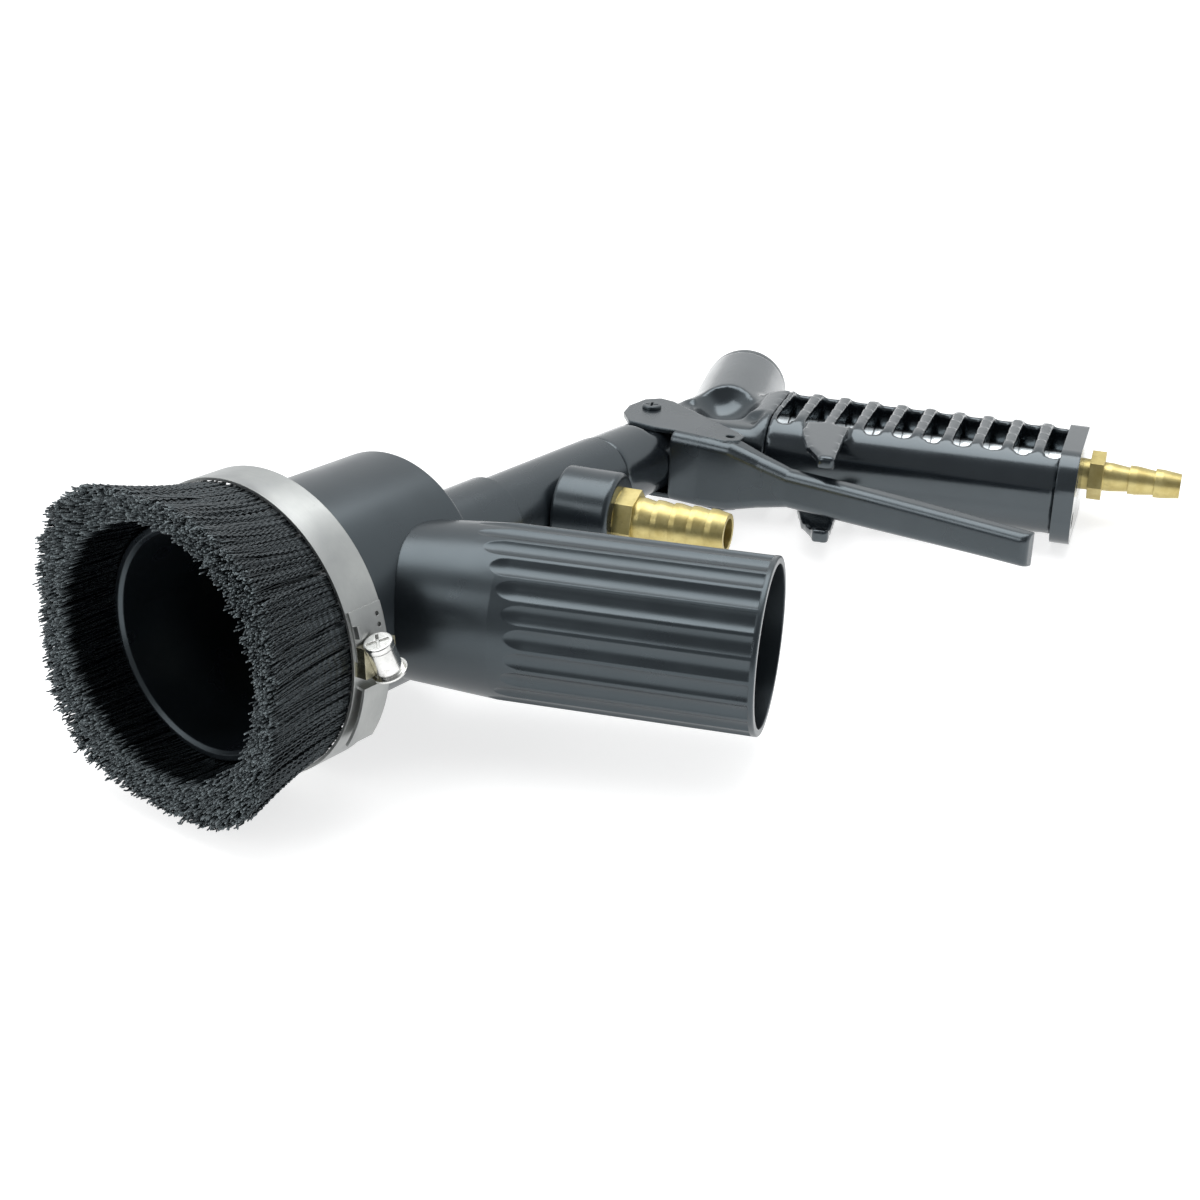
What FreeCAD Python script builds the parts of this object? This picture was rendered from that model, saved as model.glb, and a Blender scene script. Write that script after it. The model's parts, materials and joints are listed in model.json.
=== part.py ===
import FreeCAD, Part
import math
import os

# A hand-held dust-free blasting gun: a brush-skirted suction cup, a blast barrel through it,
# a compressed-air gun with a lever valve, and a ribbed grip.  Everything is designed in the
# gun's own frame: x runs rearwards along the barrel from the cup's lip, y points away from
# the grip and z to the gun's left side.  At the end every sub-part gets the one placement
# that lays the gun on its side on a surface, as it rests when it is put down.

Vector = FreeCAD.Vector
doc = FreeCAD.newDocument("blasting_gun")

DIMENSIONS = {
    # the play of a turning fit, the play of a push fit and a length that runs right through a piece
    "turning_gap": 0.05, "push_gap": 0.03, "through": 60.0,
    # suction cup and its hose port
    "rim_round": 1.2, "lip_round": 0.5,
    "cup_radius": 31.5, "cup_wall": 2.6, "cup_length": 73.0, "cup_floor": 10.0,
    "port_start": 48.0, "port_angle": 67.4, "port_radius": 23.4, "port_wall": 2.0, "port_length": 118.8,
    "port_shoulder": 24.0, "socket_length": 60.0, "socket_step": 2.6, "lip_bevel": 0.9,
    "port_root": 20.7, "port_flare_start": 14.0, "port_flare_end": 50.0,
    "flute_radius": 4.8, "flute_depth": 0.9, "flute_nose": 9.0,
    "flute_count": 24, "flute_start": 42.0, "flute_shift": 18.0, "flute_end": 117.4,
    # brush skirt and its clamp
    "brush_tip": 17.0, "brush_tip_radius": 44.0, "brush_root_radius": 39.0, "brush_offset": 1.2,
    "hollow_tip_radius": 33.8, "hollow_root_radius": 32.0, "splay": 2.6, "splay_angle": 75.0,
    "hollow_splay": 4.4, "hollow_splay_angle": 60.0,
    "brush_flare_end": 12.0, "backing_start": 8.0, "backing_length": 18.0, "backing_thickness": 3.0,
    "band_thickness": 0.8, "band_start": 13.0, "band_width": 12.0, "band_lift": 2.2, "tail_width": 9.0,
    "clamp_angle": 4.0, "clamp_tilt": 22.0, "tail_angle": 10.0, "tail_sweep": 26.0,
    "tongue_sweep": 18.0, "tongue_hole": 0.6, "lug_height": 2.0, "lug_width": 3.2,
    "housing_radius": 3.7, "housing_length": 8.0, "housing_rim": 4.7, "rim_height": 0.6, "saddle_height": 2.6,
    "clamp_screw_radius": 2.0, "clamp_head_radius": 3.8, "clamp_head_height": 1.6, "clamp_slot": 0.8,
    # blast barrel
    "tube_radius": 13.5, "tube_start": 34.0, "tube_end": 113.2, "nozzle_radius": 8.0, "nozzle_length": 46.0,
    "nozzle_bore": 4.0, "cap_radius": 16.5, "cap_length": 12.0, "cap_lip": 3.0, "cap_hole": 6.0,
    "nut_flats": 34.0, "nut_height": 7.0,
    "mixer_radius": 12.2, "mixer_end": 166.8, "mixer_bore": 7.0, "boss_start": 135.0, "boss_angle": 73.3,
    "boss_radius": 12.8, "boss_start_z": 9.5, "boss_length": 27.2, "boss_round": 1.8,
    # hose barbs
    "grit_thread": 8.0, "grit_flats": 15.0, "grit_hex": 5.8, "grit_barb": 6.6,
    "grit_end": 60.5, "grit_bore": 4.5,
    "air_thread": 5.0, "air_flats": 13.5, "air_hex_start": 123.0, "air_hex": 4.4, "air_barb": 4.6,
    "air_end": 151.3, "air_bore": 2.8,
    "barb_groove": 0.7,
    # gun body and valve
    "nose_radius": 11.9, "body_flats": 9.8, "jet_radius": 5.0, "jet_reach": 22.0, "jet_bore": 1.8,
    "jet_nose": 8.0, "jet_seat": 14.0, "air_way": 4.0, "nose_overlap": 4.0, "neck_round": 6.0,
    "flat_start": 186.0, "flat_length": 35.0, "flat_side": 26.0,
    "valve_x": 204.0, "valve_drop": 18.0, "valve_angle": -25.3, "stub_radius": 14.6, "stub_end": 76.0,
    "valve_chamber": 8.0, "chamber_start": 34.0, "seat_length": 5.0, "seat_bore": 4.0,
    "stem_radius": 2.5, "stem_tip": 13.2, "stem_point": 1.0, "stem_point_inset": 1.2,
    "poppet_radius": 6.5, "poppet_length": 5.0,
    "cap_spigot": 8.0, "valve_cap_thickness": 3.6, "spring_radius": 4.6,
    "spring_wire": 0.6, "spring_turns": 5.0,
    "gland_radius": 5.5, "gland_length": 5.0, "gland_flats": 9.6, "gland_hex": 2.4, "gland_gap": 0.2,
    "gland_wall": 2.2, "front_length": 40.0, "seat_step": 1.0, "spigot_length": 8.0, "cap_slot": 2.0,
    # grip
    "grip_x": 234.2, "grip_angle": 71.0, "grip_front": 32.0, "grip_back": 9.0, "grip_half": 14.0,
    "neck_start": -2.0, "dome_start": 13.0, "dome_inset": 4.6, "scoop_radius": 12.0, "scoop_lift": 17.0,
    "scoop_z": 22.0, "grip_start": 23.0, "flange_start": 115.0, "flange_end": 121.0,
    "flange_front": 35.0, "flange_back": 12.0, "flange_half": 15.0, "flange_screw_x": 28.6,
    "flange_screw_y": 6.0,
    "flange_screw": 1.5, "flange_screw_head": 2.6, "flange_screw_grip": 12.0,
    "screw_slot": 0.8, "screw_slot_depth": 0.9, "counterbore": 2.0, "grip_round": 12.0, "back_round": 6.0,
    "flange_round": 11.0, "lug_tip_length": 5.2, "window_first": 27.6, "window_pitch": 9.43,
    "window_width": 5.8, "window_count": 10, "window_front": 25.4, "spine": 3.6, "spine_half": 12.0,
    "rib_rise": 1.0, "lug_sheet": 3.0, "lug_tip": 4.2, "lug_tip_start": 45.4, "core_radius": 6.3,
    "core_bore": 4.0, "core_start": 13.0,
    # lever
    "pivot_x": 204.5, "pivot_lift": 7.0, "lever_half": 11.6, "lever_sheet": 1.5, "lever_reach": 138.0,
    "lever_fold": 3.2, "lever_end_fold": 2.4, "lever_end_round": 2.0,
    "pin_radius": 2.0, "pin_head": 3.1, "pin_head_height": 1.1,
    "pin_nut_flats": 7.0, "pin_nut_height": 2.9, "pin_recess": 0.7, "lever_hole": 1.5,
    # lying-down placement
    "lay_pitch": 5.787, "lay_roll": -0.28,
}
sheet = doc.addObject("Spreadsheet::Sheet", "dims")
for row, (alias, number) in enumerate(DIMENSIONS.items(), start=1):
    sheet.set(f"A{row}", alias)
    sheet.set(f"B{row}", str(number))
    sheet.setAlias(f"B{row}", alias)
doc.recompute()
D = {alias: float(sheet.get(alias)) for alias in DIMENSIONS}

PARTS = {}
NO_TURN = FreeCAD.Rotation()


def frame_at(x, down, angle):
    """A frame in the gun's middle plane whose z leaves the barrel line by angle, towards the grip."""
    turn = math.radians(angle)
    z_axis = Vector(math.cos(turn), -math.sin(turn), 0)
    y_axis = Vector(0, 0, 1)
    x_axis = y_axis.cross(z_axis)
    return FreeCAD.Placement(Vector(x, -down, 0), FreeCAD.Rotation(x_axis, y_axis, z_axis, "ZXY"))


BARREL = frame_at(0, 0, 0)
BRUSH = frame_at(0, D["brush_offset"], 0)
PORT = frame_at(D["port_start"], 0, D["port_angle"])
BOSS = frame_at(D["boss_start"], 0, D["boss_angle"])
GRIP = frame_at(D["grip_x"], 0, D["grip_angle"])
VALVE = frame_at(D["valve_x"], D["valve_drop"], D["valve_angle"])
LEVER = frame_at(D["pivot_x"], -D["pivot_lift"], 90)


def at(frame, x=0, y=0, z=0, turn=NO_TURN):
    return frame.multiply(FreeCAD.Placement(Vector(x, y, z), turn))


def bound(kind, name, place, **formulas):
    """A Part primitive whose sizes are formulas over the sheet."""
    item = doc.addObject(kind, name)
    for prop, formula in formulas.items():
        item.setExpression(prop, formula)
    item.Placement = place
    return item


def rod(name, place, radius, height):
    return bound("Part::Cylinder", name, place, Radius=radius, Height=height)


def taper(name, place, radius1, radius2, height):
    return bound("Part::Cone", name, place, Radius1=radius1, Radius2=radius2, Height=height)


def block(name, place, length, width, height):
    """A box whose length runs along x, width along y and height along z of its place."""
    return bound("Part::Box", name, place, Length=length, Width=width, Height=height)


def hexagon(name, place, flats, height):
    item = bound("Part::Prism", name, place, Circumradius=f"({flats}) / sqrt(3)", Height=height)
    item.Polygon = 6
    return item


def fuse(name, items):
    item = doc.addObject("Part::MultiFuse", name)
    item.Shapes = items
    item.Refine = True
    return item


def cut(name, base, tools):
    tool = tools[0] if len(tools) == 1 else fuse(name + "_tools", tools)
    item = doc.addObject("Part::Cut", name)
    item.Base = base
    item.Tool = tool
    item.Refine = True
    return item


def eased(name, base, radius, *heights):
    """The round piece base with its circular edges at these heights along its own z rounded off."""
    doc.recompute()
    inverse = base.Placement.inverse()
    edges = []
    for number, edge in enumerate(base.Shape.Edges, start=1):
        if isinstance(edge.Curve, Part.Circle):
            z = inverse.multVec(edge.Curve.Center).z
            if any(abs(z - height) < 0.01 for height in heights):
                edges.append((number, radius, radius))
    item = doc.addObject("Part::Fillet", name)
    item.Base = base
    item.Edges = edges
    return item


def finish(node, item):
    item.Label = node
    PARTS[node] = item
    return item


def shaped(name, shape, place):
    """A piece whose outline no primitive gives: its shape is worked out from the sheet's sizes."""
    item = doc.addObject("Part::Feature", name)
    item.Shape = shape
    item.Placement = place
    return item


def round_nosed(name, place, radius, nose, height):
    """A rod with a long elliptical nose before its start, turned in one piece."""
    ellipse = Part.Ellipse(Vector(0, 0, -nose), Vector(radius, 0, 0), Vector(0, 0, 0))
    quarter = Part.Arc(ellipse, 0, math.pi / 2)
    edges = [quarter.toShape(), Part.LineSegment(Vector(radius, 0, 0), Vector(radius, 0, height)).toShape(),
             Part.LineSegment(Vector(radius, 0, height), Vector(0, 0, height)).toShape(),
             Part.LineSegment(Vector(0, 0, height), Vector(0, 0, -nose)).toShape()]
    outline = Part.Face(Part.Wire(edges))
    return shaped(name, outline.revolve(Vector(0, 0, 0), Vector(0, 0, 1), 360), place)


def leaning_cone(name, place, low, high):
    """A solid between two circles across z; each is (z, radius, how far it is pushed, which way)."""
    rings = []
    for z, radius, push, angle in (low, high):
        turn = math.radians(angle)
        centre = Vector(-push * math.cos(turn), push * math.sin(turn), z)
        rings.append(Part.Wire(Part.makeCircle(radius, centre, Vector(0, 0, 1))))
    return shaped(name, Part.makeLoft(rings, True, True), place)


def rounded_outline(x0, x1, half, radius_front, radius_back, z):
    """A rounded rectangle across z: x from x0 to x1, y to each side by half."""
    corners = [(x0, -half, radius_front), (x1, -half, radius_back), (x1, half, radius_back),
               (x0, half, radius_front)]
    ways = [(1, 0), (0, 1), (-1, 0), (0, -1)]
    edges = []
    for i, (x, y, r) in enumerate(corners):
        before, after = ways[i - 1], ways[i]
        start = Vector(x - before[0] * r, y - before[1] * r, z)
        end = Vector(x + after[0] * r, y + after[1] * r, z)
        bulge = r * (1 - math.sqrt(0.5))
        middle = Vector(x + (after[0] - before[0]) * bulge, y + (after[1] - before[1]) * bulge, z)
        edges.append(Part.Arc(start, middle, end).toShape())
        nx, ny, nr = corners[(i + 1) % 4]
        edges.append(Part.LineSegment(end, Vector(nx - after[0] * nr, ny - after[1] * nr, z)).toShape())
    return Part.Wire(edges)


def rounded_prism(x0, x1, half, radius_front, radius_back, z0, z1):
    outline = rounded_outline(x0, x1, half, radius_front, radius_back, z0)
    return Part.Face(outline).extrude(Vector(0, 0, z1 - z0))


def suction_head():
    """The cup, with the hole in its side that opens into the vacuum port."""
    cup = rod("cup", at(BARREL), "dims.cup_radius", "dims.cup_length")
    cup = eased("cup_back_eased", cup, D["rim_round"], D["cup_length"])
    cup = eased("cup_eased", cup, D["lip_round"], 0)
    hollow = rod("cup_hollow", at(BARREL), "dims.cup_radius - dims.cup_wall",
                 "dims.cup_length - dims.cup_floor")
    bevel = taper("cup_lip", at(BARREL), "dims.cup_radius - dims.cup_wall + dims.lip_bevel",
                  "dims.cup_radius - dims.cup_wall", "dims.lip_bevel")
    passage = rod("barrel_passage", at(BARREL), "dims.tube_radius", "dims.cup_length")
    finish("suction_head", cut("suction_head", cup, [hollow, bevel, port_bore("cup"), passage]))


def port_bore(user):
    """The space inside the port; the cup's floor stops it towards the barrel."""
    bore = rod(f"{user}_port_bore", at(PORT), "dims.port_radius - dims.port_wall - dims.socket_step",
               "dims.port_length")
    shoulder = D["port_shoulder"] + D["port_wall"]
    floor = block(f"{user}_floor_space", at(BARREL, -shoulder, -D["port_length"] / 2,
                                            D["cup_length"] - D["cup_floor"]),
                  "dims.port_shoulder * 3", "dims.port_length", "dims.port_length")
    return cut(f"{user}_port_bore_trimmed", bore, [floor])


def suction_port():
    """The fluted tube that stands on the cup's side and takes the vacuum hose."""
    flare = taper("port_flare", at(PORT, z=D["port_flare_start"]), "dims.port_root", "dims.port_radius",
                  "dims.port_flare_end - dims.port_flare_start")
    tube = rod("port_tube", at(PORT, z=D["port_flare_end"]), "dims.port_radius",
               "dims.port_length - dims.port_flare_end")
    tube = eased("port_eased", tube, D["lip_round"], D["port_length"] - D["port_flare_end"])
    cup_space = rod("cup_space", at(BARREL), "dims.cup_radius", "dims.cup_length")
    behind = block("port_shoulder_space", at(BARREL, -D["port_shoulder"], -D["port_length"] / 2,
                                             D["cup_length"]),
                   "dims.port_shoulder * 3", "dims.port_length", "dims.port_length")
    socket = rod("hose_socket", at(PORT, z=D["port_length"] - D["socket_length"]),
                 "dims.port_radius - dims.port_wall", "dims.socket_length")
    port = cut("port_hollowed", fuse("port_outside", [flare, tube]),
               [cup_space, behind, port_bore("port"), socket])
    ring = D["port_radius"] + D["flute_radius"] - D["flute_depth"]
    count = int(D["flute_count"])
    for i in range(count):
        angle = 2 * math.pi * (i + 0.5) / count
        start = D["flute_start"] + D["flute_shift"] * max(0.0, -math.cos(angle))
        place = at(PORT, ring * math.cos(angle), ring * math.sin(angle), start)
        cutter = round_nosed(f"flute_{i}", place, D["flute_radius"], D["flute_nose"], D["flute_end"] - start)
        port = cut(f"fluted_{i}", port, [cutter])
    finish("suction_port", port)


def brush():
    """The strip of nylon bristles round the cup, and the strip's backing."""
    tip = -D["brush_tip"]
    flare = leaning_cone("brush_flare", at(BRUSH), (tip, D["brush_tip_radius"], D["splay"], D["splay_angle"]),
                         (D["brush_flare_end"], D["brush_root_radius"], 0, 0))
    root = rod("brush_root", at(BRUSH, z=D["brush_flare_end"]), "dims.brush_root_radius",
               "dims.backing_start + dims.backing_length - dims.brush_flare_end")
    hollow = leaning_cone("brush_hollow", at(BARREL),
                          (tip, D["hollow_tip_radius"], D["hollow_splay"], D["hollow_splay_angle"]),
                          (0, D["hollow_root_radius"], 0, 0))
    clear = rod("cup_clearance", at(BARREL), "dims.hollow_root_radius", "dims.backing_start")
    seat = rod("brush_seat", at(BARREL, z=D["backing_start"]), "dims.cup_radius + dims.backing_thickness",
               "dims.backing_length")
    mass = fuse("bristle_mass", [flare, root])
    finish("brush_bristles", cut("brush_bristles", mass, [hollow, clear, seat]))
    ring = rod("backing_ring", at(BARREL, z=D["backing_start"]),
               "dims.cup_radius + dims.backing_thickness", "dims.backing_length")
    inside = rod("backing_inside", at(BARREL, z=D["backing_start"]), "dims.cup_radius", "dims.backing_length")
    finish("brush_backing", cut("brush_backing", ring, [inside]))


def strip(name, radius, width, first, sweep):
    """A stretch of band round the brush, from the angle first over sweep degrees, in the band's middle."""
    outside = Part.makeCylinder(radius + D["band_thickness"], width, Vector(0, 0, 0), Vector(0, 0, 1), sweep)
    shape = outside.cut(Part.makeCylinder(radius, width))
    turn = FreeCAD.Rotation(Vector(0, 0, 1), 180 - D["clamp_angle"] + first)
    return shaped(name, shape, at(BRUSH, z=D["band_start"] + (D["band_width"] - width) / 2, turn=turn))


def clamp():
    """The worm-drive clamp: its band with a free tail and a holed tongue, the saddle, housing and screw."""
    outer = D["brush_root_radius"] + D["band_thickness"]
    start, half = D["band_start"], D["band_width"] / 2
    band = rod("band_outside", at(BRUSH, z=start), "dims.brush_root_radius + dims.band_thickness",
               "dims.band_width")
    inside = rod("band_inside", at(BRUSH, z=start), "dims.brush_root_radius", "dims.band_width")
    tail = strip("band_tail", D["brush_root_radius"] + D["band_lift"], D["tail_width"], D["tail_angle"],
                 D["tail_sweep"])
    riser_turn = FreeCAD.Rotation(Vector(0, 0, 1), 180 - D["clamp_angle"] + D["tail_angle"])
    riser = block("band_riser", at(at(BRUSH, z=start + half - D["tail_width"] / 2, turn=riser_turn),
                                   x=D["brush_root_radius"] + D["band_thickness"] / 2),
                  "dims.band_lift", "dims.band_thickness", "dims.tail_width")
    tongue = strip("band_tongue", outer, D["band_width"] - 1, -D["tongue_sweep"], D["tongue_sweep"])
    turn = FreeCAD.Rotation(Vector(0, 0, 1), 180 - D["clamp_angle"])
    holes = []
    for i in range(2):
        hole_turn = FreeCAD.Rotation(Vector(0, 0, 1), 180 - D["clamp_angle"] - D["tongue_sweep"] + 4 + 4 * i)
        holes.append(rod(f"tongue_hole_{i}", at(at(BRUSH, z=start + 9.5, turn=hole_turn),
                                                x=outer, turn=FreeCAD.Rotation(Vector(0, 1, 0), 90)),
                         "dims.tongue_hole", "dims.lug_width"))
    lug_turn = FreeCAD.Rotation(Vector(0, 0, 1), 180 - D["clamp_angle"] - D["tongue_sweep"] + 5)
    lug = block("band_lug", at(at(BRUSH, z=start + 0.6, turn=lug_turn), x=outer + 0.4), "dims.lug_height",
                "dims.lug_width", "dims.band_thickness")
    ring = cut("band_ring", band, [inside])
    finish("clamp_band", fuse("clamp_band", [ring, tail, riser, cut("tongue", tongue, holes), lug]))
    # the screw runs along the band, leaning a little over its front edge
    seat = at(BRUSH, z=start + half, turn=turn)
    screw_line = outer + D["saddle_height"] + D["clamp_screw_radius"]
    across = at(seat, x=screw_line, turn=FreeCAD.Rotation(Vector(1, 0, 0), 90 + D["clamp_tilt"]))
    length = D["housing_length"]
    bore = rod("housing_bore", at(across, z=-length), "dims.clamp_screw_radius + dims.turning_gap",
               "dims.through")
    foot = block("saddle_foot", at(seat, outer - 0.5, -length / 2, -half + 0.5),
                 "dims.saddle_height + 1.2", "dims.housing_length", "dims.band_width - 1")
    clear = rod("saddle_band_space", at(BRUSH, z=start - 1), "dims.brush_root_radius + dims.band_thickness",
                "dims.band_width + 2")
    shell_space = rod("saddle_shell_space", at(across, z=-length), "dims.housing_radius",
                      "dims.housing_length * 2")
    tongue_space = strip("saddle_tongue_space", outer, D["band_width"], -D["tongue_sweep"], D["tongue_sweep"])
    rim_space = rod("saddle_rim_space", at(across, z=-length / 2), "dims.housing_rim", "dims.rim_height")
    head_space = rod("saddle_head_space", at(across, z=length / 2), "dims.clamp_head_radius + dims.push_gap * 4",
                     "dims.clamp_head_height + 1")
    spaces = [clear, shell_space, tongue_space, rim_space, head_space]
    finish("clamp_saddle", cut("clamp_saddle", foot, spaces))
    shell = rod("housing_barrel", at(across, z=-length / 2), "dims.housing_radius", "dims.housing_length")
    rim = rod("housing_rim", at(across, z=-length / 2), "dims.housing_rim", "dims.rim_height")
    finish("clamp_housing", cut("clamp_housing", fuse("housing_mass", [shell, rim]), [bore]))
    shank = rod("clamp_shank", at(across, z=-length / 2 - 0.6), "dims.clamp_screw_radius",
                "dims.housing_length + 0.8")
    head_place = at(across, z=length / 2 + 0.2)
    head = rod("clamp_head", head_place, "dims.clamp_head_radius", "dims.clamp_head_height")
    head = eased("clamp_head_eased", head, D["lip_round"], D["clamp_head_height"])
    slots = []
    for i in range(2):
        slot_turn = FreeCAD.Rotation(Vector(0, 0, 1), 45 + 90 * i)
        place = at(at(head_place, z=D["clamp_head_height"] / 2, turn=slot_turn),
                   -D["clamp_head_radius"] * 0.75, -D["clamp_slot"] / 2)
        slots.append(block(f"clamp_slot_{i}", place, "dims.clamp_head_radius * 1.5", "dims.clamp_slot",
                           "dims.clamp_head_height"))
    finish("clamp_screw", cut("clamp_screw", fuse("clamp_screw_mass", [shank, head]), slots))


def blast_barrel():
    """Nozzle, its holder tube, the cap and nut that hold them, and the mixing body behind."""
    start, end = D["tube_start"], D["tube_end"]
    outside = rod("tube_outside", at(BARREL, z=start), "dims.tube_radius", "dims.tube_end - dims.tube_start")
    socket = rod("nozzle_socket", at(BARREL, z=start), "dims.nozzle_radius", "dims.nozzle_length")
    bore = rod("tube_bore", at(BARREL, z=start), "dims.mixer_bore", "dims.tube_end - dims.tube_start")
    finish("nozzle_tube", cut("nozzle_tube", outside, [socket, bore]))
    body = rod("nozzle_body", at(BARREL, z=start), "dims.nozzle_radius", "dims.nozzle_length")
    throat = rod("nozzle_throat", at(BARREL, z=start), "dims.nozzle_bore", "dims.nozzle_length")
    entry = taper("nozzle_entry", at(BARREL, z=start + D["nozzle_length"] / 2), "dims.nozzle_bore",
                  "dims.mixer_bore", "dims.nozzle_length / 2")
    finish("blast_nozzle", cut("blast_nozzle", body, [throat, entry]))
    cap = rod("cap_outside", at(BARREL, z=start - D["cap_lip"]), "dims.cap_radius", "dims.cap_length")
    seat = rod("cap_seat", at(BARREL, z=start), "dims.tube_radius", "dims.cap_length")
    hole = rod("cap_hole", at(BARREL, z=start - D["cap_lip"]), "dims.cap_hole", "dims.cap_length")
    finish("nozzle_cap", cut("nozzle_cap", cap, [seat, hole]))
    floor = D["cup_length"] - D["cup_floor"]
    nut = hexagon("nut_outside", at(BARREL, z=floor - D["nut_height"]), "dims.nut_flats", "dims.nut_height")
    nut_hole = rod("nut_hole", at(BARREL, z=floor - D["nut_height"]), "dims.tube_radius", "dims.nut_height")
    finish("head_nut", cut("head_nut", nut, [nut_hole]))
    mixer = rod("mixer_outside", at(BARREL, z=end), "dims.mixer_radius", "dims.mixer_end - dims.tube_end")
    boss = rod("boss", at(BOSS, z=D["boss_start_z"]), "dims.boss_radius",
               "dims.boss_length - dims.boss_start_z")
    mixer = eased("mixer_eased", mixer, D["lip_round"], 0, D["mixer_end"] - end)
    boss = eased("boss_front_eased", boss, D["boss_round"], D["boss_length"] - D["boss_start_z"])
    boss = eased("boss_eased", boss, D["rim_round"], 0)
    chamber = rod("mixing_chamber", at(BARREL, z=end), "dims.mixer_bore", "dims.mixer_end - dims.tube_end")
    inlet = rod("grit_thread_hole", at(BOSS), "dims.grit_thread", "dims.boss_length")
    finish("mixing_body", cut("mixing_body", fuse("mixer_mass", [mixer, boss]), [chamber, inlet]))


def hose_barb(node, frame, thread_start, hex_start, hex_height, flats, thread, barb, end, bore, steps):
    """A brass fitting: thread, hexagon and a hose tail with saw-tooth rings."""
    shank = rod(node + "_thread", at(frame, z=D[thread_start[0]] + thread_start[1]), thread,
                f"{hex_start} - dims.{thread_start[0]} - {thread_start[1]}")
    z = D[hex_start.split(".")[1]] if "." in hex_start else float(hex_start)
    flat_turn = FreeCAD.Rotation(Vector(0, 0, 1), 15)
    pieces = [shank, hexagon(node + "_hex", at(frame, z=z, turn=flat_turn), flats, hex_height)]
    z += D[hex_height.split(".")[1]]
    pitch = (D[end] - z) / steps
    land = 0.3 * pitch
    for i in range(steps):
        start = z + i * pitch
        pieces.append(rod(f"{node}_land_{i}", at(frame, z=start), barb, f"{land:.4f}"))
        pieces.append(taper(f"{node}_ring_{i}", at(frame, z=start + land), barb,
                            f"{barb} - dims.barb_groove", f"{pitch - land:.4f}"))
    hole = rod(node + "_hole", at(frame, z=D[thread_start[0]] + thread_start[1]), bore, f"dims.{end}")
    return finish(node, cut(node, fuse(node + "_mass", pieces), [hole]))


DOME_STEPS = 5


def gun_body():
    """The cast body: nose, grip socket and the stub that holds the valve."""
    nose = rod("nose", at(BARREL, z=D["mixer_end"]), "dims.nose_radius",
               "dims.grip_x + dims.nose_overlap - dims.mixer_end")
    stub_start = D["scoop_z"] + D["neck_round"]
    stub = rod("stub", at(VALVE, z=stub_start), "dims.stub_radius",
               "dims.stub_end - dims.scoop_z - dims.neck_round")
    neck = shaped("neck", rounded_prism(-D["grip_front"], D["grip_back"], D["body_flats"], D["neck_round"],
                                        D["neck_round"], D["neck_start"], D["grip_start"]), at(GRIP))
    rings = []
    for i in range(DOME_STEPS + 1):
        lean = math.pi / 2 * i / DOME_STEPS
        inset = D["dome_inset"] * (1 - math.sin(lean))
        z = D["dome_start"] + (D["grip_start"] - D["dome_start"]) * (1 - math.cos(lean))
        rings.append(rounded_outline(-D["grip_front"] + inset / 2, D["grip_back"] - inset,
                                     D["grip_half"] - inset, D["grip_round"] - inset / 2, D["back_round"], z))
    shoulder = shaped("shoulder", Part.makeLoft(rings, True, False), at(GRIP))
    front = rod("valve_front", at(VALVE, z=1), "dims.gland_radius + dims.gland_wall", "dims.front_length")
    width = D["stub_radius"]
    flats = [block(f"flat_{side}", at(BARREL, -D["flat_side"], y, D["flat_start"]), "dims.through",
                   "dims.stub_radius", "dims.flat_length")
             for side, y in (("left", D["body_flats"]), ("right", -D["body_flats"] - width))]
    tools = flats + [
        rod("jet_bore", at(BARREL, z=D["mixer_end"]), "dims.jet_radius", "dims.jet_seat"),
        rod("air_way_nose", at(BARREL, z=D["mixer_end"]), "dims.air_way", "dims.grip_x - dims.mixer_end"),
        rod("stem_bore", at(VALVE, z=-D["gland_length"]), "dims.stem_radius + dims.turning_gap",
            "dims.chamber_start + dims.gland_length + 1"),
        rod("gland_socket", at(VALVE, z=-D["gland_length"]), "dims.gland_radius",
            "dims.gland_length * 2 + 1"),
        rod("valve_bore", at(VALVE, z=D["chamber_start"]), "dims.valve_chamber", "dims.through"),
        rod("air_way_grip", at(GRIP, z=D["core_start"] - 7), "dims.air_way", "10"),
        rod("core_socket", at(GRIP, z=D["core_start"]), "dims.core_radius", "dims.through"),
        rod("pivot_hole", at(LEVER, y=-D["through"] / 2, turn=FreeCAD.Rotation(Vector(1, 0, 0), -90)),
            "dims.pin_radius + dims.turning_gap", "dims.through"),
    ]
    for side in (1, -1):
        tools.append(bound("Part::Sphere", f"scoop_{side}".replace("-", "m"),
                           at(VALVE, 0, side * D["scoop_lift"], D["scoop_z"]), Radius="dims.scoop_radius"))
    finish("gun_body", cut("gun_body", fuse("body_mass", [nose, stub, neck, shoulder, front]), tools))


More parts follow.
